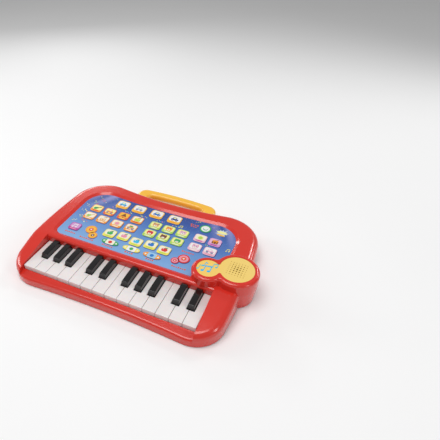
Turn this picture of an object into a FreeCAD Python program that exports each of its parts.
import FreeCAD, Part
import math
import os

# Toy electronic keyboard: a red two-part case with a touch panel, twenty-four hinged keys, a raised
# loudspeaker tower at the right and a carry handle at the back.
#
# Design axes: X runs along the keys from the left edge of the first white key, Y runs to the back from
# the front edge of the white keys, Z runs up from the table. The last step moves every piece so that the
# origin is under the middle of the keyboard's bounding box.

V = FreeCAD.Vector

# ---- Keys -------------------------------------------------------------------------------------------
WHITE_KEYS = 14            # F to E, two octaves of seven
WHITE_PITCH = 20.0         # one white key with its gap
KEY_GAP = 0.6              # between neighbouring white keys
KEY_REACH = 60.9           # key length in front of the bridge
KEY_TOP = 23.5             # white key tops above the table
KEY_LIP = 10.5             # height of a white key's front
KEY_SKIRT = 7.0            # height of the sides behind the front part
KEY_SKIN = 2.2             # thickness of a key's top
KEY_WALL = 1.4             # thickness of a key's sides
KEY_ROUND = 0.8            # rounding of the top edges
KEY_TAIL = 5.0             # how far the full width runs on under the bridge
BLACK_WIDTH = 11.0
BLACK_TOP_WIDTH = 9.0
BLACK_START = 25.8         # front of the black keys behind the front of the white ones
BLACK_SIDE_GAP = 0.8
BLACK_FRONT_GAP = 1.2
BLACK_REAR_GAP = 0.7       # to the bridge
BLACK_RISE = 7.4           # rear top above the white keys
BLACK_NOSE_RISE = 6.8      # front top above the white keys
BLACK_NOSE = 2.4           # run of the sloping front face
BLACK_BOW = 0.6            # how far the top curve stands above a straight line
BLACK_ROUND = 1.1
BLACK_SHIFT = {1: -1.5, 2: 0.0, 3: 1.5, 5: -1.5, 6: 1.5}    # after this white key of the octave
OCTAVE = 7

# ---- Key hinge --------------------------------------------------------------------------------------
ROD_RADIUS = 2.0
ROD_CLEARANCE = 0.06       # running fit of the keys on the rod
ROD_BEHIND_BRIDGE = 19.1
ROD_BELOW_KEY_TOP = 10.0
ROD_OVERHANG = 3.0         # rod end beyond the last post
HUB_RADIUS = 4.5
WHITE_ARM = 6.0            # width of the arm from key to rod
BLACK_ARM = 5.0
POST_WIDTH = 2.4
POST_AFTER = (4, 7, 11)    # white keys with no black key after them
POST_SIDE = 4.0            # end posts beyond the keys

# ---- Case -------------------------------------------------------------------------------------------
WALL = 2.5
FOOT_HEIGHT = 1.5          # gap between the case and the table
MARGIN_LEFT = 30.5         # from the keys to the side walls, at their widest
MARGIN_RIGHT = 36.5
SIDE_BOW_RADIUS = 800.0    # side walls curve outwards
SIDE_BOW_Y = 100.0         # where they are widest
FRONT_MARGIN = 11.5        # from the keys to the front wall, at the middle
REAR_MARGIN = 28.0         # from the panel to the rear wall, at the middle
FRONT_BOW_RADIUS = 1900.0  # front and rear walls curve inwards
REAR_BOW_RADIUS = 610.0
FRONT_CORNER = 44.0
REAR_CORNER = 60.0
RIM_RISE = 12.8            # top of the case above the white keys
CHEEK_RISE = 1.2           # cheeks beside the keys, at the front of the keys
CHEEK_BLEND = 60.0         # radius between cheeks and top
EDGE_ROUND = 10.0          # outer top edge
LEDGE_DROP = 7.0           # ledge in front of the keys below the white keys
LEDGE_SLOPE = 0.16
LEDGE_ROUND = 4.0
BRIDGE_DEPTH = 14.1        # from the keys to the panel
BRIDGE_ROUND = 4.6
BRIDGE_GAP = 1.0           # over the white keys
WELL_GAP = 0.8             # around the keys
WELL_DEPTH = 14.0          # walls of the key well, below the white key tops
FIT = 0.3                  # between parts that go inside each other

# ---- Touch panel ------------------------------------------------------------------------------------
PANEL_LEFT = 2.7           # inside the keys' left end
PANEL_RIGHT = 1.2          # inside their right end
PANEL_DEPTH = 124.0        # at the middle
PANEL_RISE = 10.2          # printed face above the white keys
PANEL_BOW_RADIUS = 1100.0
STRAIGHT = 40000.0         # bow radius of an edge that is straight in practice
PANEL_FRONT_CORNER = 11.0
PANEL_REAR_CORNER = 37.0
PANEL_BEVEL = 5.0          # width of the sloping edge round the panel
PANEL_FLANGE = 6.0         # ledge the overlay is glued to
OVERLAY_THICK = 0.6
MEMBRANE_THICK = 1.2
BACKPLATE_THICK = 2.0
STAKE_RADIUS = 1.5

# ---- Loudspeaker tower ------------------------------------------------------------------------------
SPEAKER_RIGHT = 21.2       # speaker centre beyond the keys
SPEAKER_BACK = 25.6        # speaker centre behind the panel's front edge
EMBLEM_LEFT = 17.2         # emblem centre inside the keys' right end
EMBLEM_BACK = 10.8
SPEAKER_PLATE = 25.5       # radii of the two lobes of the yellow plate
EMBLEM_PLATE = 17.0
SPEAKER_COLLAR = 33.0      # radii of the two lobes of the tower
EMBLEM_COLLAR = 24.3
TOWER_RISE = 26.5          # above the white keys
TOWER_TAPER = 3.0          # smaller radius at the base
TOWER_ROUND = 4.5
TOWER_WAIST_ROUND = 4.0
TOWER_ROOF = 4.2
PLATE_THICK = 2.0
PLATE_SUNK = 0.3
PLATE_WAIST_ROUND = 2.0
PLATE_EDGE_ROUND = 0.5
PLATE_CLEARANCE = 0.15
GRILLE_PITCH = 4.1
GRILLE_ROWS = 7
GRILLE_HOLE = 1.45         # radius at the middle of the pattern
GRILLE_TAPER = 0.28        # smaller by this much for each ring outwards
SPEAKER_OPENING = 21.5
SPEAKER_RADIUS = 23.7
SPEAKER_FLANGE = 1.2
BASKET_DEPTH = 11.0
MAGNET_RADIUS = 14.0
MAGNET_DEPTH = 9.0
GASKET_THICK = 1.0
CONE_THICK = 0.6
RETAINER_THICK = 1.5
SPEAKER_SCREWS = 3
SPEAKER_SCREW_CIRCLE = 27.4

# ---- Carry handle -----------------------------------------------------------------------------------
HANDLE_OUTER_FOOT = 91.5   # half widths, from the middle of the handle
HANDLE_INNER_FOOT = 54.5
HANDLE_OUTER_LEG = 77.0
HANDLE_INNER_LEG = 56.0
HANDLE_REACH = 41.5        # outer edge behind the rear wall, at the middle
HANDLE_BAR = 16.0
HANDLE_BOW = 5.0           # bar's outer edge further out at the middle than at the corners
HANDLE_FLARE = 14.0        # length over which the feet widen
HANDLE_FLARE_ROUND = 12.0
HANDLE_OUTER_CORNER = 17.0
HANDLE_INNER_CORNER = 12.0
HANDLE_THICK = 13.0
HANDLE_MID_Z = 16.5
HANDLE_ROUND = 5.6
HANDLE_LEFT_OF_MIDDLE = 2.0
TONGUE_WIDTH = 16.0
TONGUE_LENGTH = 24.0
TONGUE_THICK = 7.0

# ---- Base, battery bay and feet -----------------------------------------------------------------------
PLATE = 2.5
LIP_HEIGHT = 5.0
CELL_RADIUS = 7.1
CELL_LENGTH = 50.2
CELL_PITCH = 15.2
CELLS = 3
BAY_WALL = 2.0
BAY_SPRING_ROOM = 5.0
SPRING_RADIUS = 3.6
SPRING_WIRE = 0.45
SPRING_TURNS = 3
WIRE_SIDES = 8
BAY_CONTACT = 0.5
BAY_RIGHT_OF_MIDDLE = 35.0
BAY_BEHIND_PANEL_FRONT = 72.0
DOOR_THICK = 2.0
DOOR_LAP = 4.0
FOOT_RADIUS = 6.0
FOOT_SEAT = 1.0

# ---- Boards and wires -------------------------------------------------------------------------------
BOARD_THICK = 1.6
CHASSIS_TOP = 7.5
CHASSIS_EAR_TOP = 11.0     # raised ears at the ends, for the screws
CHASSIS_THICK = 2.0
CONTACT_BOARD_Z = 9.0
CONTACT_BOARD_DEPTH = 19.0
DOME_Y = 42.0              # row of rubber domes behind the front of the keys
DOME_RADIUS = 4.0
DOME_HEIGHT = 3.9
DOME_BASE = 1.0
DOME_STRIP_DEPTH = 12.0
PLUNGER_GAP = 0.2
PLUNGER = 3.6
MAIN_BOARD_X = 70.0
MAIN_BOARD_Y = 66.0
MAIN_BOARD_LEFT = 40.0
MAIN_BOARD_BACK = 38.0     # behind the panel's front edge
MAIN_BOARD_Z = 12.0
RIBBON_THICK = 0.5
WIRE_RADIUS = 0.7

# ---- Power switch -----------------------------------------------------------------------------------
SWITCH_TRAVEL = 6.0
SWITCH_KNOB = (6.0, 4.0)
SWITCH_KNOB_PROUD = 0.9    # below the base, inside the height of the feet
SWITCH_BODY = (24.0, 9.0, 6.0)

# ---- Screws -----------------------------------------------------------------------------------------
SCREW_RADIUS = 1.25
SCREW_LENGTH = 10.0
SCREW_HEAD_RADIUS = 2.8
SCREW_HEAD_HEIGHT = 2.0
SCREW_SLOT = 0.7
SCREW_HOLE = 1.6           # radius of a clearance hole
BOSS_RADIUS = 3.6
POCKET_RADIUS = 3.3        # over a screw head

# ---- Worked out from the values above -----------------------------------------------------------------
KEYS_WIDTH = WHITE_KEYS * WHITE_PITCH
CASE_X0 = -MARGIN_LEFT
CASE_X1 = KEYS_WIDTH + MARGIN_RIGHT
CASE_MIDDLE = (CASE_X0 + CASE_X1) / 2
PANEL_FRONT = KEY_REACH + BRIDGE_DEPTH
PANEL_REAR = PANEL_FRONT + PANEL_DEPTH
CASE_FRONT = -FRONT_MARGIN
CASE_REAR = PANEL_REAR + REAR_MARGIN
RIM_Z = KEY_TOP + RIM_RISE
PANEL_Z = KEY_TOP + PANEL_RISE
DECK_TOP = PANEL_Z - OVERLAY_THICK
DECK_BOTTOM = DECK_TOP - WALL
TOWER_Z = KEY_TOP + TOWER_RISE
LEDGE_Z = KEY_TOP - LEDGE_DROP
BASE_Z = FOOT_HEIGHT
PLATE_TOP = BASE_Z + PLATE
POCKET_FLOOR = PLATE_TOP + FIT + 3.0         # under the heads of the case screws
HOUSING_BOSS_TOP = PLATE_TOP + FIT + 6.0     # where the base meets the upper case's bosses
SPEAKER = (KEYS_WIDTH + SPEAKER_RIGHT, PANEL_FRONT + SPEAKER_BACK)
EMBLEM = (KEYS_WIDTH - EMBLEM_LEFT, PANEL_FRONT + EMBLEM_BACK)
ROD_Y = KEY_REACH + ROD_BEHIND_BRIDGE
ROD_Z = KEY_TOP - ROD_BELOW_KEY_TOP
KEY_END = KEY_REACH + KEY_TAIL
DOME_Z = CONTACT_BOARD_Z + BOARD_THICK + DOME_BASE
PLUNGER_Z = DOME_Z + DOME_HEIGHT + PLUNGER_GAP
ABOVE = TOWER_Z + 20.0     # higher than anything in the model


# ---- Small tools ------------------------------------------------------------------------------------
def box(x0, x1, y0, y1, z0, z1):
    return Part.makeBox(x1 - x0, y1 - y0, z1 - z0, V(x0, y0, z0))


def post(x, y, radius, z0, z1):
    return Part.makeCylinder(radius, z1 - z0, V(x, y, z0))


def bar_x(y, z, radius, x0, x1):
    return Part.makeCylinder(radius, x1 - x0, V(x0, y, z), V(1, 0, 0))


def prism(wire, z0, z1):
    face = Part.Face(wire)
    face.translate(V(0, 0, z0 - wire.BoundBox.ZMin))
    return face.extrude(V(0, 0, z1 - z0))


def slab_x(points, x0, x1):
    """Closed polygon of (y, z) points, pulled along X."""
    corners = [V(x0, y, z) for y, z in points]
    return Part.Face(Part.makePolygon(corners + corners[:1])).extrude(V(x1 - x0, 0, 0))


def turned(points, x, y):
    """Closed polygon of (radius, z) points, turned about the vertical line through x, y."""
    corners = [V(x + r, y, z) for r, z in points]
    face = Part.Face(Part.makePolygon(corners + corners[:1]))
    return face.revolve(V(x, y, 0), V(0, 0, 1), 360)


def joined(first, *rest):
    return first.fuse(list(rest)).removeSplitter()


def arc(a, b, c):
    return Part.Arc(a, b, c).toShape()


def rounded(shape, radius, wanted):
    """Round the edges for which wanted(edge) is true."""
    return shape.makeFillet(radius, [edge for edge in shape.Edges if wanted(edge)])


def crossing(a, a_radius, b, b_radius, side):
    """The point where two circles cross, furthest to the left (-1) or right (1)."""
    gap = math.dist(a, b)
    along = (a_radius ** 2 - b_radius ** 2 + gap ** 2) / (2 * gap)
    across = math.sqrt(a_radius ** 2 - along ** 2)
    ux, uy = (b[0] - a[0]) / gap, (b[1] - a[1]) / gap
    points = [(a[0] + ux * along - s * uy * across, a[1] + uy * along + s * ux * across) for s in (-1, 1)]
    return max(points, key=lambda point: side * point[0])


def bowed_outline(xs, ys, widest, side_bow, front, rear, inset):
    """Closed outline between xs and ys. Its sides curve outwards and are widest at y = widest; its front and
    rear, each given as (bow radius, corner radius), curve inwards."""
    middle = sum(xs) / 2
    sides = {-1: (xs[0] + side_bow, widest), 1: (xs[1] - side_bow, widest)}
    ends = {-1: ((middle, ys[0] - front[0]),) + front, 1: ((middle, ys[1] + rear[0]),) + rear}

    def corner(side, end):
        """Where the corner's arc leaves the front or rear, its middle, and where it joins the side."""
        bow_at, bow, radius = ends[end]
        side_at = sides[side]
        centre = crossing(side_at, side_bow - radius, bow_at, bow + radius, side)
        leave = [q + (c - q) * (bow + inset) / (bow + radius) for q, c in zip(bow_at, centre)]
        join = [q + (c - q) * (side_bow - inset) / (side_bow - radius) for q, c in zip(side_at, centre)]
        half = [(p + q) / 2 - c for p, q, c in zip(leave, join, centre)]
        reach = (radius - inset) / math.hypot(*half)
        return V(*leave, 0), V(*[c + h * reach for c, h in zip(centre, half)], 0), V(*join, 0)

    front_left, front_right = corner(-1, -1), corner(1, -1)
    rear_left, rear_right = corner(-1, 1), corner(1, 1)
    return Part.Wire([
        arc(front_left[0], V(middle, ys[0] + inset, 0), front_right[0]), arc(*front_right),
        arc(front_right[2], V(xs[1] - inset, widest, 0), rear_right[2]), arc(*rear_right[::-1]),
        arc(rear_right[0], V(middle, ys[1] - inset, 0), rear_left[0]), arc(*rear_left),
        arc(rear_left[2], V(xs[0] + inset, widest, 0), front_left[2]), arc(*front_left[::-1])])


def case_outline(inset):
    return bowed_outline((CASE_X0, CASE_X1), (CASE_FRONT, CASE_REAR), SIDE_BOW_Y, SIDE_BOW_RADIUS,
                         (FRONT_BOW_RADIUS, FRONT_CORNER), (REAR_BOW_RADIUS, REAR_CORNER), inset)


def panel_outline(inset):
    return bowed_outline((PANEL_LEFT, KEYS_WIDTH - PANEL_RIGHT), (PANEL_FRONT, PANEL_REAR),
                         (PANEL_FRONT + PANEL_REAR) / 2, STRAIGHT, (STRAIGHT, PANEL_FRONT_CORNER),
                         (PANEL_BOW_RADIUS, PANEL_REAR_CORNER), inset)


def case_block(inset):
    """The case as a solid lump: full plan, level top, and cheeks that slope down to the front."""
    slope = (RIM_RISE - CHEEK_RISE) / KEY_REACH
    drop = inset * math.sqrt(1 + slope ** 2)
    top = RIM_Z - inset
    front = CASE_FRONT * 5
    rear = CASE_REAR + REAR_CORNER
    knee = KEY_REACH + (drop - inset) / slope
    profile = slab_x([(front, BASE_Z), (rear, BASE_Z), (rear, top), (knee, top),
                      (front, KEY_TOP + CHEEK_RISE - drop + slope * front)], CASE_X0 - 9, CASE_X1 + 9)
    knee_edge = [e for e in profile.Edges
                 if all(abs(v.Y - knee) < 0.01 and abs(v.Z - top) < 0.01 for v in e.Vertexes)]
    profile = profile.makeFillet(CHEEK_BLEND - inset, knee_edge)
    block = prism(case_outline(inset), BASE_Z, ABOVE).common(profile)

    def outer_top(edge):
        box_ = edge.BoundBox
        across = box_.XLength > KEYS_WIDTH and box_.YLength < 0.01
        level = edge.Vertexes[0].Z > KEY_TOP - 8 and edge.Vertexes[-1].Z > KEY_TOP - 8
        return level and not across

    return rounded(block, EDGE_ROUND - inset, outer_top)


def two_lobes(speaker_radius, emblem_radius, waist_round, z0, z1):
    """Overlapping discs round the loudspeaker and the emblem, with the inner corners of the waist rounded."""
    lobes = joined(post(*SPEAKER, speaker_radius, z0, z1), post(*EMBLEM, emblem_radius, z0, z1))

    def waist(edge):
        x, y = edge.Vertexes[0].X, edge.Vertexes[0].Y
        off_speaker = math.hypot(x - SPEAKER[0], y - SPEAKER[1]) - speaker_radius
        off_emblem = math.hypot(x - EMBLEM[0], y - EMBLEM[1]) - emblem_radius
        return edge.BoundBox.ZLength > z1 - z0 - 0.01 and max(abs(off_speaker), abs(off_emblem)) < 0.01

    return rounded(lobes, waist_round, waist)


def tower_block(inset, z0, z1, round_top):
    lobes = two_lobes(SPEAKER_COLLAR - inset, EMBLEM_COLLAR - inset, TOWER_WAIST_ROUND, z0, z1)
    return rounded(lobes, round_top, lambda e: e.BoundBox.ZMin > z1 - 0.01)


def tower_foot(inset, z0):
    """The part of the tower that stands beside the case, narrower towards the table."""
    narrow = SPEAKER_COLLAR - TOWER_TAPER * (DECK_BOTTOM - z0) / (DECK_BOTTOM - BASE_Z)
    return Part.makeCone(narrow - inset, SPEAKER_COLLAR - inset, DECK_BOTTOM - z0, V(*SPEAKER, z0))


# ---- Places shared by several pieces ------------------------------------------------------------------
CHEEK_LEFT = (CASE_X0 + WALL - WELL_GAP - WALL) / 2
CHEEK_RIGHT = (CASE_X1 - WALL + KEYS_WIDTH + WELL_GAP + WALL) / 2
REAR_ROW = CASE_REAR - 13.0
HANDLE_X = CASE_MIDDLE - HANDLE_LEFT_OF_MIDDLE
TONGUES = [HANDLE_X + side * (HANDLE_INNER_LEG + HANDLE_OUTER_LEG) / 2 for side in (-1, 1)]
HOUSING_SCREWS = [(CHEEK_LEFT, 14.0), (CHEEK_RIGHT, 14.0), (CHEEK_LEFT, PANEL_FRONT + 50.0),
                  (CASE_X1 - 14.0, SPEAKER[1] + 50.0), (CASE_X0 + 42.0, REAR_ROW + 1.0),
                  (CASE_X1 - 42.0, REAR_ROW + 1.0), (HANDLE_X, REAR_ROW)]
CHASSIS_SCREWS = [(CHEEK_LEFT, 34.0), (CHEEK_LEFT, KEY_REACH - 6.0),
                  (CHEEK_RIGHT, 34.0), (CHEEK_RIGHT, KEY_REACH - 6.0)]
HANDLE_SCREWS = [(x, CASE_REAR - 7.0) for x in TONGUES]
FEET = [(12.0, 4.0), (KEYS_WIDTH - 12.0, 4.0), (CASE_X0 + 50.0, REAR_ROW - 14.0),
        (CASE_X1 - 50.0, REAR_ROW - 14.0), (SPEAKER[0] + 6.0, SPEAKER[1])]
POSTS_X = [-POST_SIDE] + [k * WHITE_PITCH for k in POST_AFTER] + [KEYS_WIDTH + POST_SIDE]
BOARD_X0 = MAIN_BOARD_LEFT
BOARD_Y0 = PANEL_FRONT + MAIN_BOARD_BACK
BOARD_HOLES = [(BOARD_X0 + dx, BOARD_Y0 + dy) for dx in (5.0, MAIN_BOARD_X - 5.0)
               for dy in (5.0, MAIN_BOARD_Y - 5.0)]
BAY_X0 = CASE_MIDDLE + BAY_RIGHT_OF_MIDDLE - CELL_LENGTH / 2 - BAY_SPRING_ROOM - 2 * BAY_CONTACT
BAY_X1 = BAY_X0 + CELL_LENGTH + BAY_SPRING_ROOM + 3 * BAY_CONTACT
BAY_Y0 = PANEL_FRONT + BAY_BEHIND_PANEL_FRONT - CELLS * CELL_PITCH / 2
BAY_Y1 = BAY_Y0 + CELLS * CELL_PITCH
CELL_Z = BASE_Z + DOOR_THICK + FIT + CELL_RADIUS + 0.3
BAY_ROOF = CELL_Z + CELL_RADIUS + 0.4
CELL_Y = [BAY_Y0 + (i + 0.5) * CELL_PITCH for i in range(CELLS)]
DOOR_SCREW = (BAY_X1 + DOOR_LAP + 6.0, (BAY_Y0 + BAY_Y1) / 2)
SWITCH = (CASE_MIDDLE - 45.0, REAR_ROW - 17.0)
STAKES = [(x, y) for x in (5.0, KEYS_WIDTH * 0.33, KEYS_WIDTH * 0.66) for y in (PANEL_FRONT + 3.5,)]
STAKES += [(x, PANEL_REAR - 2.6) for x in (KEYS_WIDTH * 0.33, KEYS_WIDTH * 0.66)]
STAKES += [(2.0, PANEL_FRONT + 60.0), (KEYS_WIDTH - 3.5, PANEL_FRONT + 85.0)]


def screw(x, y, seat, up, length=SCREW_LENGTH, head=SCREW_HEAD_RADIUS, shank=SCREW_RADIUS):
    """Cross-head screw with its head's flat side at seat, pointing up (1) or down (-1)."""
    aim = V(0, 0, up)
    body = Part.makeCylinder(shank, length, V(x, y, seat), aim)
    cap = Part.makeCylinder(head, SCREW_HEAD_HEIGHT, V(x, y, seat), aim * -1)
    outer = seat - up * SCREW_HEAD_HEIGHT
    slots = []
    for half_x, half_y in ((head * 0.6, SCREW_SLOT / 2), (SCREW_SLOT / 2, head * 0.6)):
        depth = SCREW_HEAD_HEIGHT * 0.55
        low, high = sorted((outer - up, outer + up * depth))
        slots.append(box(x - half_x, x + half_x, y - half_y, y + half_y, low, high))
    return body.fuse(cap).removeSplitter().cut(slots)


# ---- Upper case -------------------------------------------------------------------------------------
def under_slope(x0, x1, top_at_keys):
    """Everything under the sloping ledge plane that is top_at_keys high at the front of the keys."""
    far = CASE_FRONT * 4
    return slab_x([(far, BASE_Z), (0.0, BASE_Z), (0.0, top_at_keys), (far, top_at_keys + far * LEDGE_SLOPE)],
                  x0, x1)


def ledge_block():
    """The low stretch of case in front of the keys, with its rounded front edge."""
    low = prism(case_outline(0), BASE_Z, ABOVE).common(under_slope(CASE_X0 - 9, CASE_X1 + 9, LEDGE_Z))
    low = rounded(low, LEDGE_ROUND, lambda e: e.BoundBox.ZMin > LEDGE_Z - 6 and e.BoundBox.YMax < -0.5
                  or e.BoundBox.ZMin > LEDGE_Z - 6 and e.BoundBox.YLength > 1)
    return low.common(box(-WELL_GAP, KEYS_WIDTH + WELL_GAP, CASE_FRONT * 4, 0, BASE_Z, ABOVE))


def panel_recess():
    straight = prism(panel_outline(0), DECK_TOP, PANEL_Z)
    low = panel_outline(0)
    low.translate(V(0, 0, PANEL_Z))
    high = panel_outline(-PANEL_BEVEL)
    high.translate(V(0, 0, RIM_Z))
    bevel = Part.makeLoft([low, high], True, True)
    return straight.fuse(bevel)


def near_tower(extra, z0, z1):
    return two_lobes(SPEAKER_COLLAR + extra, EMBLEM_COLLAR + extra, TOWER_WAIST_ROUND, z0, z1)


def deck_window(inset, z0, z1):
    edge = PANEL_FLANGE + inset
    return prism(panel_outline(edge), z0, z1).cut(near_tower(edge, z0 - 1, z1 + 1))


def top_housing():
    shell = case_block(0)
    shell = shell.cut(box(-WELL_GAP, KEYS_WIDTH + WELL_GAP, CASE_FRONT * 4, 0, BASE_Z - 1, ABOVE))
    shell = shell.fuse(ledge_block()).removeSplitter()
    well = box(-WELL_GAP, KEYS_WIDTH + WELL_GAP, -WELL_GAP, KEY_REACH, BASE_Z - 1, ABOVE)
    shell = shell.cut(well)
    shell = rounded(shell, BRIDGE_ROUND, lambda e: e.BoundBox.XLength > KEYS_WIDTH
                    and e.BoundBox.YLength < 0.01 and abs(e.BoundBox.YMin - KEY_REACH) < 0.01
                    and e.BoundBox.ZMin > KEY_TOP + 5)
    shell = shell.cut(panel_recess())
    tower = tower_block(0, DECK_BOTTOM, TOWER_Z, TOWER_ROUND).fuse(tower_foot(0, BASE_Z))
    shell = shell.fuse(tower).removeSplitter()

    hollow = case_block(WALL)
    well_frame = box(-WELL_GAP - WALL, KEYS_WIDTH + WELL_GAP + WALL, -WELL_GAP - WALL, KEY_REACH + WALL,
                     KEY_TOP - WELL_DEPTH, ABOVE)
    under_bridge = box(-WELL_GAP, KEYS_WIDTH + WELL_GAP, KEY_REACH - 1, KEY_REACH + WALL + 1,
                       0, KEY_TOP + BRIDGE_GAP)
    well_frame = well_frame.cut(under_bridge)
    ledge_skin = box(-WELL_GAP - WALL, KEYS_WIDTH + WELL_GAP + WALL, CASE_FRONT * 4, 0, BASE_Z, ABOVE)
    ledge_skin = ledge_skin.cut(under_slope(CASE_X0, CASE_X1, LEDGE_Z - WALL))
    deck = prism(panel_outline(-PANEL_BEVEL - 0.6), DECK_BOTTOM, ABOVE)
    keep = [well_frame, ledge_skin, deck]
    keep += [post(x, y, BOSS_RADIUS, HOUSING_BOSS_TOP, ABOVE) for x, y in HOUSING_SCREWS]
    keep += [post(x, y, BOSS_RADIUS, CHASSIS_EAR_TOP, ABOVE) for x, y in CHASSIS_SCREWS]
    keep += [post(x, y, BOSS_RADIUS, HANDLE_MID_Z + TONGUE_THICK / 2, ABOVE) for x, y in HANDLE_SCREWS]
    keep += [post(x, y, STAKE_RADIUS, DECK_BOTTOM - BACKPLATE_THICK - 1.0, ABOVE) for x, y in STAKES]
    hollow = hollow.cut(keep)

    cavity_top = TOWER_Z - TOWER_ROOF
    speaker_room = post(*SPEAKER, SPEAKER_COLLAR - WALL, DECK_BOTTOM, cavity_top)
    speaker_room = speaker_room.fuse(tower_foot(WALL, BASE_Z - 1))
    emblem_room = post(*EMBLEM, EMBLEM_COLLAR - WALL, DECK_BOTTOM - 4, cavity_top)
    bosses = [post(x, y, SPEAKER_COLLAR - WALL + 0.4 - SPEAKER_SCREW_CIRCLE, speaker_levels()[2], cavity_top)
              for x, y in speaker_screw_places()]
    room = speaker_room.fuse(emblem_room).cut(bosses + [well_frame])
    shell = shell.cut([hollow, room])

    seat = plate_shape(-PLATE_CLEARANCE, TOWER_Z - PLATE_SUNK - PLATE_THICK, ABOVE)
    holes = [seat, post(*SPEAKER, SPEAKER_OPENING, cavity_top - 1, ABOVE),
             deck_window(0, DECK_BOTTOM - 5, DECK_TOP + 1)]
    holes += [post(x, y, SCREW_RADIUS, PLATE_TOP, HOUSING_BOSS_TOP + SCREW_LENGTH) for x, y in HOUSING_SCREWS]
    holes += [post(x, y, SCREW_RADIUS, CHASSIS_EAR_TOP - 1, CHASSIS_EAR_TOP - CHASSIS_THICK + SCREW_LENGTH)
              for x, y in CHASSIS_SCREWS]
    holes += [post(x, y, SCREW_RADIUS, HANDLE_MID_Z, HANDLE_MID_Z + TONGUE_THICK / 2 + SCREW_LENGTH)
              for x, y in HANDLE_SCREWS]
    holes += [post(x, y, SCREW_RADIUS, cavity_top - 4, cavity_top + 2.0) for x, y in speaker_screw_places()]
    holes += [tongue(x, FIT / 2) for x in TONGUES]
    return shell.cut(holes)


# ---- Loudspeaker ------------------------------------------------------------------------------------
def speaker_screw_places():
    places = []
    for i in range(SPEAKER_SCREWS):
        angle = math.radians(-30 + i * 360 / SPEAKER_SCREWS)
        places.append((SPEAKER[0] + SPEAKER_SCREW_CIRCLE * math.cos(angle),
                       SPEAKER[1] + SPEAKER_SCREW_CIRCLE * math.sin(angle)))
    return places


def plate_shape(inset, z0, z1):
    return two_lobes(SPEAKER_PLATE - inset, EMBLEM_PLATE - inset, PLATE_WAIST_ROUND + inset, z0, z1)


def speaker_grille():
    top = TOWER_Z - PLATE_SUNK
    plate = plate_shape(0, top - PLATE_THICK, top)
    plate = rounded(plate, PLATE_EDGE_ROUND, lambda e: e.BoundBox.ZMin > top - 0.01)
    holes = []
    middle = (GRILLE_ROWS - 1) / 2
    for i in range(GRILLE_ROWS):
        for j in range(GRILLE_ROWS):
            u, v = i - middle, j - middle
            ring = max(abs(u), abs(v))
            x = SPEAKER[0] + GRILLE_PITCH * u
            y = SPEAKER[1] + GRILLE_PITCH * v
            holes.append(post(x, y, GRILLE_HOLE - GRILLE_TAPER * ring, top - PLATE_THICK - 1, top + 1))
    return plate.cut(holes)


def speaker_levels():
    roof = TOWER_Z - TOWER_ROOF
    flange_top = roof - GASKET_THICK
    return roof, flange_top, flange_top - SPEAKER_FLANGE


def speaker_gasket():
    roof, flange_top, _ = speaker_levels()
    disc = post(*SPEAKER, SPEAKER_RADIUS, flange_top, roof)
    return disc.cut(post(*SPEAKER, SPEAKER_OPENING, flange_top - 1, roof + 1))


def speaker_frame():
    _, top, bottom = speaker_levels()
    neck = bottom - BASKET_DEPTH
    inner = SPEAKER_OPENING
    outer = inner + 1.0
    basket = turned([(inner, top), (SPEAKER_RADIUS, top), (SPEAKER_RADIUS, bottom), (outer, bottom),
                     (MAGNET_RADIUS - 2.0, neck), (6.0, neck), (6.0, neck + 1.0),
                     (MAGNET_RADIUS - 2.6, neck + 1.0), (inner, bottom)], *SPEAKER)
    windows = []
    for i in range(4):
        window = box(15.0, 19.0, -5.0, 5.0, neck - 1, bottom + 0.2)
        window.rotate(V(0, 0, 0), V(0, 0, 1), 45 + 90 * i)
        window.translate(V(SPEAKER[0], SPEAKER[1], 0))
        windows.append(window)
    return basket.cut(windows)


def speaker_magnet():
    _, _, bottom = speaker_levels()
    neck = bottom - BASKET_DEPTH
    ring = post(*SPEAKER, MAGNET_RADIUS, neck - MAGNET_DEPTH, neck)
    return ring.makeChamfer(0.8, [e for e in ring.Edges if e.BoundBox.ZLength < 0.01])


def speaker_cone():
    _, top, bottom = speaker_levels()
    neck = bottom - BASKET_DEPTH + 1.6
    rim = SPEAKER_OPENING - 0.4
    t = CONE_THICK
    return turned([(rim, top - 0.2), (rim - 1.6, top + 0.3), (rim - 3.2, top - 0.2), (7.0, neck + 3.4),
                   (4.0, neck + 5.2), (0.0, neck + 5.8), (0.0, neck + 5.8 - t), (3.8, neck + 5.2 - t),
                   (6.0, neck + 2.6), (6.0, neck), (6.8, neck), (7.2, neck + 2.4),
                   (rim - 3.2, top - 0.2 - t), (rim - 1.6, top + 0.3 - t), (rim, top - 0.2 - t)], *SPEAKER)


def speaker_retainer():
    _, _, bottom = speaker_levels()
    ring = post(*SPEAKER, SPEAKER_COLLAR - WALL - FIT, bottom - RETAINER_THICK, bottom)
    ring = ring.cut(post(*SPEAKER, SPEAKER_OPENING + 1.2, bottom - 4, bottom + 1))
    ring = ring.cut([post(x, y, SCREW_HOLE, bottom - 4, bottom + 1) for x, y in speaker_screw_places()])
    return ring.cut(box(CASE_X0, KEYS_WIDTH + WELL_GAP + WALL + FIT, 0, KEY_REACH + WALL + FIT, 0, ABOVE))


def speaker_screws():
    _, _, bottom = speaker_levels()
    return [screw(x, y, bottom - RETAINER_THICK, 1, length=RETAINER_THICK + 4.0)
            for x, y in speaker_screw_places()]


# ---- Touch panel ------------------------------------------------------------------------------------
def panel_overlay():
    sheet = prism(panel_outline(PLATE_CLEARANCE), DECK_TOP, PANEL_Z)
    return sheet.cut(near_tower(PLATE_CLEARANCE, DECK_TOP - 1, PANEL_Z + 1))


def panel_membrane():
    return deck_window(FIT, DECK_TOP - MEMBRANE_THICK, DECK_TOP)


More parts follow.
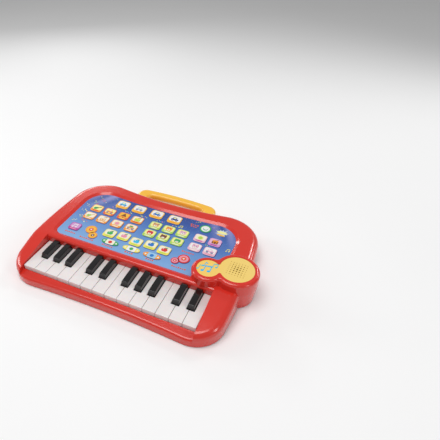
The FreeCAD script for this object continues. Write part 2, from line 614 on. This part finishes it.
def panel_backplate():
    top = DECK_TOP - MEMBRANE_THICK
    plate = prism(panel_outline(0.5), DECK_BOTTOM - BACKPLATE_THICK, DECK_BOTTOM)
    plate = plate.cut(near_tower(0.5, DECK_BOTTOM - 5, DECK_BOTTOM + 1))
    plate = plate.fuse(deck_window(FIT, DECK_BOTTOM - 0.5, top)).removeSplitter()
    cuts = [post(x, y, STAKE_RADIUS + 0.1, DECK_BOTTOM - 6, DECK_BOTTOM) for x, y in STAKES]
    cuts.append(panel_ribbon_slot())
    return plate.cut(cuts)


RIBBON_X = (BOARD_X0 + 22.0, BOARD_X0 + 42.0)
RIBBON_Y = BOARD_Y0 + MAIN_BOARD_Y - 8.0


def panel_ribbon_slot():
    return box(RIBBON_X[0] - 1, RIBBON_X[1] + 1, RIBBON_Y - 1, RIBBON_Y + RIBBON_THICK + 1,
               DECK_BOTTOM - 6, PANEL_Z)


def panel_ribbon():
    top = DECK_TOP - MEMBRANE_THICK
    low = MAIN_BOARD_Z + BOARD_THICK
    return box(*RIBBON_X, RIBBON_Y, RIBBON_Y + RIBBON_THICK, low, top)


# ---- Handle -----------------------------------------------------------------------------------------
def tongue(x, extra):
    y1 = CASE_REAR + 6.0
    half = TONGUE_WIDTH / 2 + extra
    return box(x - half, x + half, y1 - TONGUE_LENGTH - extra, y1 + extra,
               HANDLE_MID_Z - TONGUE_THICK / 2 - extra, HANDLE_MID_Z + TONGUE_THICK / 2 + extra)


def handle_side(halves, back, corner):
    """Block behind the case: (half width, y) points from the root, then a bowed edge to the other side."""
    low, high = HANDLE_MID_Z - HANDLE_THICK / 2, HANDLE_MID_Z + HANDLE_THICK / 2
    right = [V(HANDLE_X + half, y, low) for half, y in halves]
    left = [V(HANDLE_X - half, y, low) for half, y in halves]
    edges = [Part.makeLine(a, b) for a, b in zip(right, right[1:])]
    edges.append(arc(right[-1], V(HANDLE_X, back, low), left[-1]))
    edges += [Part.makeLine(b, a) for a, b in zip(left, left[1:])][::-1]
    edges.append(Part.makeLine(left[0], right[0]))
    block = Part.Face(Part.Wire(edges)).extrude(V(0, 0, high - low))

    def upright_at(level):
        return [e for e in block.Edges if e.BoundBox.ZLength > 1 and abs(e.BoundBox.YMin - level) < 0.01]

    block = block.makeFillet(corner, upright_at(halves[-1][1]))
    if len(halves) > 2:
        block = block.makeFillet(HANDLE_FLARE_ROUND, upright_at(halves[1][1]))
    return block


def carry_handle():
    back = CASE_REAR + HANDLE_REACH
    inner = back - HANDLE_BAR
    root = CASE_REAR - 1.0
    outside = handle_side([(HANDLE_OUTER_FOOT, root), (HANDLE_OUTER_LEG, root + HANDLE_FLARE),
                           (HANDLE_OUTER_LEG, back - HANDLE_BOW)], back, HANDLE_OUTER_CORNER)
    inside = handle_side([(HANDLE_INNER_FOOT, root - 1.0), (HANDLE_INNER_LEG, inner - HANDLE_BOW * 0.5)],
                         inner, HANDLE_INNER_CORNER)
    grip = outside.cut(inside)
    grip = rounded(grip, HANDLE_ROUND, lambda e: e.BoundBox.ZLength < 0.01 and e.BoundBox.YMax > root + 1)
    grip = grip.cut(case_lump_behind())
    grip = grip.fuse([tongue(x, 0) for x in TONGUES]).removeSplitter()
    return grip.cut([post(x, y, SCREW_HOLE, 0, ABOVE) for x, y in HANDLE_SCREWS])


def case_lump_behind():
    return prism(case_outline(0), BASE_Z - 1, ABOVE)


# ---- Base -------------------------------------------------------------------------------------------
def base_plan(inset, z0, z1):
    levels = box(SPEAKER[0] - SPEAKER_COLLAR, CASE_X1 + SPEAKER_COLLAR, 0, CASE_REAR, z0, z1)
    tower = tower_foot(WALL + inset, z0 - 1.0).common(levels)
    return prism(case_outline(WALL + inset), z0, z1).fuse(tower)


def bottom_housing():
    plate = base_plan(FIT, BASE_Z, PLATE_TOP)
    lip = base_plan(FIT, PLATE_TOP - 0.5, PLATE_TOP + LIP_HEIGHT).cut(base_plan(FIT + 1.6, BASE_Z, ABOVE))
    bay = box(BAY_X0 - BAY_WALL, BAY_X1 + BAY_WALL, BAY_Y0 - BAY_WALL, BAY_Y1 + BAY_WALL,
              BASE_Z, BAY_ROOF + BAY_WALL)
    adds = [lip, bay]
    adds += [post(x, y, POCKET_RADIUS + 1.6, BASE_Z, HOUSING_BOSS_TOP) for x, y in HOUSING_SCREWS]
    adds += [post(x, y, BOSS_RADIUS, PLATE_TOP - 1, MAIN_BOARD_Z) for x, y in BOARD_HOLES]
    adds.append(post(*DOOR_SCREW, BOSS_RADIUS + 1.4, PLATE_TOP - 1, PLATE_TOP + 9.0))
    shell = plate.fuse(adds).removeSplitter()
    cuts = [box(BAY_X0, BAY_X1, BAY_Y0, BAY_Y1, BASE_Z - 1, BAY_ROOF), door_shape(-FIT)]
    cuts += [post(x, y, POCKET_RADIUS, BASE_Z - 1, POCKET_FLOOR) for x, y in HOUSING_SCREWS]
    cuts += [post(x, y, SCREW_HOLE, BASE_Z, PLATE_TOP + 10.0) for x, y in HOUSING_SCREWS]
    cuts += [post(x, y, SCREW_RADIUS, MAIN_BOARD_Z + BOARD_THICK - SCREW_LENGTH, MAIN_BOARD_Z + 1)
             for x, y in BOARD_HOLES]
    cuts += [post(x, y, FOOT_RADIUS, BASE_Z - 1, BASE_Z + FOOT_SEAT) for x, y in FEET]
    cuts.append(post(*DOOR_SCREW, SCREW_RADIUS, BASE_Z, BASE_Z + SCREW_LENGTH))
    knob_x, knob_y = SWITCH_KNOB
    cuts.append(box(SWITCH[0] - knob_x / 2 - FIT, SWITCH[0] + knob_x / 2 + SWITCH_TRAVEL + FIT,
                    SWITCH[1] - knob_y / 2 - FIT, SWITCH[1] + knob_y / 2 + FIT, BASE_Z - 1, PLATE_TOP + 1))
    return shell.cut(cuts)


def door_shape(inset):
    """Battery door with the ear that takes its screw."""
    x0, x1 = BAY_X0 - DOOR_LAP, BAY_X1 + DOOR_LAP
    leaf = box(x0 + inset, x1 - inset, BAY_Y0 - DOOR_LAP + inset, BAY_Y1 + DOOR_LAP - inset,
               BASE_Z, BASE_Z + DOOR_THICK)
    ear = post(*DOOR_SCREW, 6.0 - inset, BASE_Z, BASE_Z + DOOR_THICK)
    neck = box(x1 - 1, DOOR_SCREW[0], DOOR_SCREW[1] - 6.0 + inset, DOOR_SCREW[1] + 6.0 - inset,
               BASE_Z, BASE_Z + DOOR_THICK)
    return joined(leaf, ear, neck)


def battery_door():
    door = door_shape(0)
    ribs = [box(BAY_X0 + 6.0 + 7.0 * i, BAY_X0 + 8.5 + 7.0 * i, BAY_Y0 + 4.0, BAY_Y0 + 14.0,
                BASE_Z - 1, BASE_Z + 0.6) for i in range(4)]
    hole = post(*DOOR_SCREW, SCREW_HOLE, BASE_Z - 1, BASE_Z + DOOR_THICK + 1)
    sink = post(*DOOR_SCREW, POCKET_RADIUS, BASE_Z - 1, BASE_Z + 1.0)
    return door.cut(ribs + [hole, sink])


def battery_door_screw():
    return screw(*DOOR_SCREW, BASE_Z + 1.0, 1, length=SCREW_LENGTH - 2.0)


def cell_x0():
    return BAY_X0 + BAY_SPRING_ROOM + BAY_CONTACT


def batteries():
    cells = []
    for i, y in enumerate(CELL_Y):
        body = bar_x(y, CELL_Z, CELL_RADIUS, cell_x0(), cell_x0() + CELL_LENGTH - 1.4)
        tip = bar_x(y, CELL_Z, 2.6, cell_x0() + CELL_LENGTH - 1.4, cell_x0() + CELL_LENGTH)
        cells.append(body.fuse(tip).removeSplitter())
    return cells


def battery_contacts():
    plates = []
    low, high = CELL_Z - 5.0, CELL_Z + 5.0
    for y in CELL_Y:
        plates.append(box(BAY_X0, BAY_X0 + BAY_CONTACT, y - 5.5, y + 5.5, low, high))
        plates.append(box(BAY_X1 - BAY_CONTACT, BAY_X1, y - 5.5, y + 5.5, low, high))
    return plates


def battery_springs():
    """Coil of eight-sided wire between each cell and its contact plate."""
    coils = []
    x0 = BAY_X0 + BAY_CONTACT + SPRING_WIRE
    length = cell_x0() - SPRING_WIRE - x0
    angles = [math.pi / WIRE_SIDES * (2 * i + 1) for i in range(WIRE_SIDES)]
    section = [V(SPRING_RADIUS + SPRING_WIRE * math.cos(a), 0, SPRING_WIRE * math.sin(a)) for a in angles]
    profile = Part.makePolygon(section + section[:1])
    for y in CELL_Y:
        helix = Part.makeHelix(length / SPRING_TURNS, length, SPRING_RADIUS, 0)
        coil = Part.Wire(helix.Edges).makePipeShell([profile], True, True)
        coil.rotate(V(0, 0, 0), V(0, 1, 0), 90)
        coil.translate(V(x0, y, CELL_Z))
        coils.append(coil)
    return coils


def rubber_feet():
    feet = []
    for x, y in FEET:
        pad = post(x, y, FOOT_RADIUS - 0.1, 0.0, BASE_Z + FOOT_SEAT)
        feet.append(pad.makeFillet(0.6, [e for e in pad.Edges if abs(e.BoundBox.ZMax) < 0.01]))
    return feet


# ---- Keys -------------------------------------------------------------------------------------------
def black_centre(k):
    """Middle of the black key after white key k, or None where there is none."""
    step = (k - 1) % OCTAVE + 1
    if k < 1 or k >= WHITE_KEYS or step not in BLACK_SHIFT:
        return None
    return k * WHITE_PITCH + BLACK_SHIFT[step]


def rear_span(k):
    """Left and right sides of white key k beside the black keys."""
    left, right = (k - 1) * WHITE_PITCH + KEY_GAP / 2, k * WHITE_PITCH - KEY_GAP / 2
    reach = BLACK_WIDTH / 2 + BLACK_SIDE_GAP
    if black_centre(k - 1) is not None:
        left = black_centre(k - 1) + reach
    if black_centre(k) is not None:
        right = black_centre(k) - reach
    return left, right


def key_centres():
    """Middle of every key's arm, white keys first."""
    whites = [sum(rear_span(k)) / 2 for k in range(1, WHITE_KEYS + 1)]
    blacks = [black_centre(k) for k in range(1, WHITE_KEYS) if black_centre(k) is not None]
    return whites, blacks


def key_arm(x, width, top):
    """Arm, hub and dome plunger of a key."""
    half = width / 2
    arm = box(x - half, x + half, KEY_END - 8.0, ROD_Y, ROD_Z - 1.0, top)
    slope = slab_x([(KEY_END + 2.0, top + 1.0), (ROD_Y + 1.0, ROD_Z + HUB_RADIUS - 0.5),
                    (ROD_Y + 1.0, top + 1.0)], x - half - 1, x + half + 1)
    hub = bar_x(ROD_Y, ROD_Z, HUB_RADIUS, x - half, x + half)
    plunger = box(x - PLUNGER / 2, x + PLUNGER / 2, DOME_Y - PLUNGER / 2, DOME_Y + PLUNGER / 2,
                  PLUNGER_Z, KEY_TOP - KEY_SKIN + 0.5)
    return arm.cut(slope).fuse(hub), plunger, bar_x(ROD_Y, ROD_Z, ROD_RADIUS + ROD_CLEARANCE, x - 9, x + 9)


def white_key(k):
    left, right = (k - 1) * WHITE_PITCH + KEY_GAP / 2, k * WHITE_PITCH - KEY_GAP / 2
    rear_left, rear_right = rear_span(k)
    notch = BLACK_START - BLACK_FRONT_GAP
    low = KEY_TOP - KEY_LIP
    skirt = KEY_TOP - KEY_SKIRT
    wall = KEY_WALL
    cap = joined(box(left, right, 0, notch, low, KEY_TOP),
                 box(rear_left, rear_right, notch - 3, KEY_END, skirt, KEY_TOP))
    cap = rounded(cap, KEY_ROUND, lambda e: all(abs(v.Z - KEY_TOP) < 0.01 for v in e.Vertexes)
                  or (e.BoundBox.YMax < 0.01 and e.BoundBox.XLength < 0.01))
    under = KEY_TOP - KEY_SKIN
    hollow = box(left + wall, right - wall, wall, notch - wall, low - 1, under)
    hollow = hollow.fuse(box(rear_left + wall, rear_right - wall, notch - wall - 1, KEY_END - wall,
                             skirt - 1, under))
    arm, plunger, bore = key_arm((rear_left + rear_right) / 2, WHITE_ARM, KEY_TOP - 1.5)
    return cap.cut(hollow).fuse([arm, plunger]).removeSplitter().cut(bore)


def black_key(x):
    rear = KEY_REACH - BLACK_REAR_GAP
    low = KEY_TOP - KEY_SKIRT
    nose = V(x - 9, BLACK_START + BLACK_NOSE, KEY_TOP + BLACK_NOSE_RISE)
    heel = V(x - 9, rear, KEY_TOP + BLACK_RISE)
    crest = V(x - 9, (nose.y + heel.y) / 2, (nose.z + heel.z) / 2 + BLACK_BOW)
    foot = V(x - 9, BLACK_START, KEY_TOP + 0.6)
    side = Part.Wire([arc(nose, crest, heel), Part.makeLine(heel, V(x - 9, rear, low)),
                      Part.makeLine(V(x - 9, rear, low), V(x - 9, BLACK_START, low)),
                      Part.makeLine(V(x - 9, BLACK_START, low), foot), Part.makeLine(foot, nose)])
    block = Part.Face(side).extrude(V(18, 0, 0))
    wide, narrow, peak = BLACK_WIDTH / 2, BLACK_TOP_WIDTH / 2, KEY_TOP + BLACK_RISE + 3.0
    ends = [V(x - wide, 0, low - 1), V(x + wide, 0, low - 1), V(x + wide, 0, KEY_TOP), V(x + narrow, 0, peak),
            V(x - narrow, 0, peak), V(x - wide, 0, KEY_TOP)]
    draft = Part.Face(Part.makePolygon(ends + ends[:1])).extrude(V(0, KEY_END, 0))
    cap = block.common(draft)
    cap = rounded(cap, BLACK_ROUND, lambda e: e.BoundBox.ZMin > KEY_TOP + BLACK_NOSE_RISE - 0.5
                  and e.BoundBox.YMin < rear - 1)
    wall = KEY_WALL + 0.4
    inner = wide - wall
    hollow = box(x - inner, x + inner, BLACK_START + BLACK_NOSE + wall, rear - wall,
                 low - 1, KEY_TOP + BLACK_NOSE_RISE - 2.6)
    tail = box(x - BLACK_ARM / 2 - 1, x + BLACK_ARM / 2 + 1, rear - 3.0, KEY_END, low, KEY_TOP - 1.5)
    arm, _, bore = key_arm(x, BLACK_ARM, KEY_TOP - 1.5)
    plunger = box(x - PLUNGER / 2, x + PLUNGER / 2, DOME_Y - PLUNGER / 2, DOME_Y + PLUNGER / 2,
                  PLUNGER_Z, KEY_TOP + BLACK_NOSE_RISE - 2.0)
    return cap.cut(hollow).fuse([tail, arm, plunger]).removeSplitter().cut(bore)


def key_pivot_rod():
    rod = bar_x(ROD_Y, ROD_Z, ROD_RADIUS, POSTS_X[0] - ROD_OVERHANG, POSTS_X[-1] + ROD_OVERHANG)
    return rod.makeChamfer(0.3, [e for e in rod.Edges if e.BoundBox.XLength < 0.01])


def key_chassis():
    low = CHASSIS_TOP - CHASSIS_THICK
    plate = box(-POST_SIDE - 2.0, KEYS_WIDTH + POST_SIDE + 2.0, 6.0, ROD_Y + 9.0, low, CHASSIS_TOP)
    adds = []
    for x, y in CHASSIS_SCREWS:
        side = -1 if x < 0 else 1
        end = -POST_SIDE if side < 0 else KEYS_WIDTH + POST_SIDE
        x0, x1 = sorted((x + side * 5.0, end + side * 0.5))
        adds.append(box(x0, x1, y - 5.5, y + 5.5, CHASSIS_EAR_TOP - CHASSIS_THICK, CHASSIS_EAR_TOP))
        x0, x1 = sorted((end + side * 0.5, end + side * 3.0))
        adds.append(box(x0, x1, y - 5.5, y + 5.5, low, CHASSIS_EAR_TOP))
    half = CONTACT_BOARD_DEPTH / 2
    for y in (DOME_Y - half + 1.0, DOME_Y + half - 2.5):
        adds.append(box(2.0, KEYS_WIDTH - 2.0, y, y + 1.5, CHASSIS_TOP - 0.5, CONTACT_BOARD_Z))
    for x in POSTS_X:
        ear = box(x - POST_WIDTH / 2, x + POST_WIDTH / 2, ROD_Y - 5.0, ROD_Y + 5.0, CHASSIS_TOP - 0.5, ROD_Z)
        adds += [ear, bar_x(ROD_Y, ROD_Z, 5.0, x - POST_WIDTH / 2, x + POST_WIDTH / 2)]
    frame = plate.fuse(adds).removeSplitter()
    cuts = [bar_x(ROD_Y, ROD_Z, ROD_RADIUS, POSTS_X[0] - 9, POSTS_X[-1] + 9)]
    cuts += [post(x, y, SCREW_HOLE, low - 1, CHASSIS_EAR_TOP + 1) for x, y in CHASSIS_SCREWS]
    return frame.cut(cuts)


def key_contact_board():
    half = CONTACT_BOARD_DEPTH / 2
    return box(1.5, KEYS_WIDTH - 1.5, DOME_Y - half, DOME_Y + half,
               CONTACT_BOARD_Z, CONTACT_BOARD_Z + BOARD_THICK)


def key_dome_strip():
    half = DOME_STRIP_DEPTH / 2
    strip = box(2.0, KEYS_WIDTH - 2.0, DOME_Y - half, DOME_Y + half, DOME_Z - DOME_BASE, DOME_Z)
    whites, blacks = key_centres()
    domes = [Part.makeCone(DOME_RADIUS, DOME_RADIUS * 0.7, DOME_HEIGHT, V(x, DOME_Y, DOME_Z))
             for x in whites + blacks]
    return strip.fuse(domes).removeSplitter()


# ---- Electronics ------------------------------------------------------------------------------------
def main_board():
    board = box(BOARD_X0, BOARD_X0 + MAIN_BOARD_X, BOARD_Y0, BOARD_Y0 + MAIN_BOARD_Y, MAIN_BOARD_Z,
                MAIN_BOARD_Z + BOARD_THICK)
    return board.cut([post(x, y, SCREW_HOLE, 0, ABOVE) for x, y in BOARD_HOLES])


def board_components():
    z = MAIN_BOARD_Z + BOARD_THICK
    x, y = BOARD_X0, BOARD_Y0
    blob = Part.makeSphere(14.0, V(x + 30.0, y + 30.0, z - 11.0)).common(box(x, x + 60, y, y + 60, z, z + 5))
    cans = [post(x + 56.0, y + 24.0 + 10.0 * i, 3.0, z, z + 8.0) for i in range(2)]
    crystal = box(x + 12.0, x + 22.0, y + 12.0, y + 16.0, z, z + 3.5)
    sockets = [box(x + 54.0, x + 64.0, y + 12.0, y + 17.0, z, z + 5.0),
               box(x + 44.0, x + 54.0, y + 56.0, y + 61.0, z, z + 5.0)]
    return [blob, crystal] + cans + sockets


def key_ribbon():
    """Flat cable from the key contacts under the hubs to the main board."""
    z = CHASSIS_TOP + 0.2
    x0, x1 = BOARD_X0 + 10.0, BOARD_X0 + 26.0
    rear = DOME_Y + CONTACT_BOARD_DEPTH / 2
    end = BOARD_Y0
    rise = box(x0, x1, rear, rear + RIBBON_THICK, z, CONTACT_BOARD_Z + BOARD_THICK)
    run = box(x0, x1, rear, end, z, z + RIBBON_THICK)
    up = box(x0, x1, end - RIBBON_THICK, end, z, MAIN_BOARD_Z + BOARD_THICK)
    return joined(rise, run, up)


def routed(points, radius):
    """Round wire along straight runs joined by arcs."""
    pts = [V(*p) for p in points]
    edges = []
    start = pts[0]
    for before, corner, after in zip(pts, pts[1:], pts[2:]):
        into, out = corner - before, after - corner
        turn = into.getAngle(out)
        cut = 0.45 * min(into.Length, out.Length)
        into.normalize()
        out.normalize()
        a, b = corner - into * cut, corner + out * cut
        bend = cut / math.tan(turn / 2)
        inward = (out - into).normalize()
        middle = corner + inward * (bend / math.cos(turn / 2) - bend)
        edges += [Part.makeLine(start, a), arc(a, middle, b)]
        start = b
    edges.append(Part.makeLine(start, pts[-1]))
    path = Part.Wire(edges)
    circle = Part.Wire(Part.makeCircle(radius, pts[0], pts[1] - pts[0]))
    return path.makePipeShell([circle], True, False)


def speaker_wires():
    """Two leads from the main board, over the battery bay, to the loudspeaker's terminals."""
    z = MAIN_BOARD_Z + BOARD_THICK + 2.0
    x, y = BOARD_X0 + 54.4, BOARD_Y0 + 58.5
    _, _, bottom = speaker_levels()
    wires = []
    for i in range(2):
        d = 2.4 * i
        wires.append(routed([(x, y + d - 1.2, z), (x + 18.0, y + d + 2.0, z + 2.0),
                             (x + 44.0, y + d + 12.0, BAY_ROOF + BAY_WALL + 4.0),
                             (x + 92.0, y + d + 14.0, BAY_ROOF + BAY_WALL + 5.0),
                             (x + 134.0, y + d - 6.0, BAY_ROOF + BAY_WALL + 4.0),
                             (SPEAKER[0] - 22.0, SPEAKER[1] + 22.0 + d, bottom - 19.0),
                             (SPEAKER[0] - 15.5, SPEAKER[1] + 9.0 + d, bottom - BASKET_DEPTH - 3.0)],
                            WIRE_RADIUS))
    return wires


def battery_wires():
    """Two leads from the battery bay to the main board."""
    z = MAIN_BOARD_Z + BOARD_THICK + 2.0
    x, y = BOARD_X0 + 64.4, BOARD_Y0 + 14.5
    wires = []
    for i in range(2):
        d = 2.6 * i
        wires.append(routed([(x, y + d - 1.3, z), (x + 10.0, y + d, z + 3.0),
                             (x + 20.0, y + 4.0 + d, z + 3.0),
                             (BAY_X0 - BAY_WALL - 0.3, y + 8.0 + d, z)], WIRE_RADIUS))
    return wires


def power_switch_body():
    length, depth, height = SWITCH_BODY
    x = SWITCH[0] + SWITCH_TRAVEL / 2
    knob_x, knob_y = SWITCH_KNOB
    can = box(x - length / 2, x + length / 2, SWITCH[1] - depth / 2, SWITCH[1] + depth / 2,
              PLATE_TOP, PLATE_TOP + height)
    room = box(SWITCH[0] - knob_x / 2 - FIT, SWITCH[0] + knob_x / 2 + SWITCH_TRAVEL + FIT,
               SWITCH[1] - knob_y / 2 - FIT, SWITCH[1] + knob_y / 2 + FIT, PLATE_TOP - 1, PLATE_TOP + 2.4)
    return can.cut(room)


def power_switch_knob():
    knob_x, knob_y = SWITCH_KNOB
    low = BASE_Z - SWITCH_KNOB_PROUD
    knob = box(SWITCH[0] - knob_x / 2, SWITCH[0] + knob_x / 2, SWITCH[1] - knob_y / 2, SWITCH[1] + knob_y / 2,
               low, PLATE_TOP + 2.0)
    grooves = [box(SWITCH[0] - 1.8 + 1.6 * i, SWITCH[0] - 1.2 + 1.6 * i, SWITCH[1] - 5, SWITCH[1] + 5,
                   low - 1, low + 0.4) for i in range(3)]
    return knob.cut(grooves)


def housing_screws():
    return [screw(x, y, POCKET_FLOOR, 1, length=SCREW_LENGTH + 3.0) for x, y in HOUSING_SCREWS]


def inner_screws():
    screws = [screw(x, y, CHASSIS_EAR_TOP - CHASSIS_THICK, 1) for x, y in CHASSIS_SCREWS]
    screws += [screw(x, y, HANDLE_MID_Z - TONGUE_THICK / 2, 1, length=SCREW_LENGTH + 5.0)
               for x, y in HANDLE_SCREWS]
    screws += [screw(x, y, MAIN_BOARD_Z + BOARD_THICK, -1, length=SCREW_LENGTH - 1.0)
               for x, y in BOARD_HOLES]
    return screws


# ---- Assembly ---------------------------------------------------------------------------------------
def all_pieces():
    pieces = {maker.__name__: maker() for maker in (
        top_housing, bottom_housing, battery_door, battery_door_screw, batteries, battery_contacts,
        battery_springs, carry_handle, panel_overlay, panel_membrane, panel_backplate, panel_ribbon,
        speaker_grille, speaker_frame, speaker_cone, speaker_magnet, speaker_gasket, speaker_retainer,
        speaker_screws, key_chassis, key_pivot_rod, key_contact_board, key_dome_strip, key_ribbon,
        main_board, board_components, speaker_wires, battery_wires, power_switch_body, power_switch_knob,
        housing_screws, inner_screws, rubber_feet)}
    for k in range(1, WHITE_KEYS + 1):
        pieces[f"white_key_{k:02d}"] = white_key(k)
    for n, x in enumerate(key_centres()[1], 1):
        pieces[f"black_key_{n:02d}"] = black_key(x)
    return pieces


def single_shape(piece):
    """One solid, or the separate solids of a group in one compound."""
    solids = []
    for shape in piece if isinstance(piece, list) else [piece]:
        solids += shape.Solids
    return solids[0] if len(solids) == 1 else Part.makeCompound(solids)


def main():
    os.makedirs("parts", exist_ok=True)
    pieces = {name: single_shape(piece) for name, piece in all_pieces().items()}
    whole = FreeCAD.BoundBox()
    for shape in pieces.values():
        whole.add(shape.optimalBoundingBox(False))
    shift = V(-(whole.XMin + whole.XMax) / 2, -(whole.YMin + whole.YMax) / 2, -whole.ZMin)
    for name, shape in pieces.items():
        shape.translate(shift)
        shape.exportStep(f"parts/{name}.step")
    print("size", round(whole.XLength, 2), round(whole.YLength, 2), round(whole.ZLength, 2))
    print("shift", round(shift.x, 3), round(shift.y, 3), round(shift.z, 3))


main()
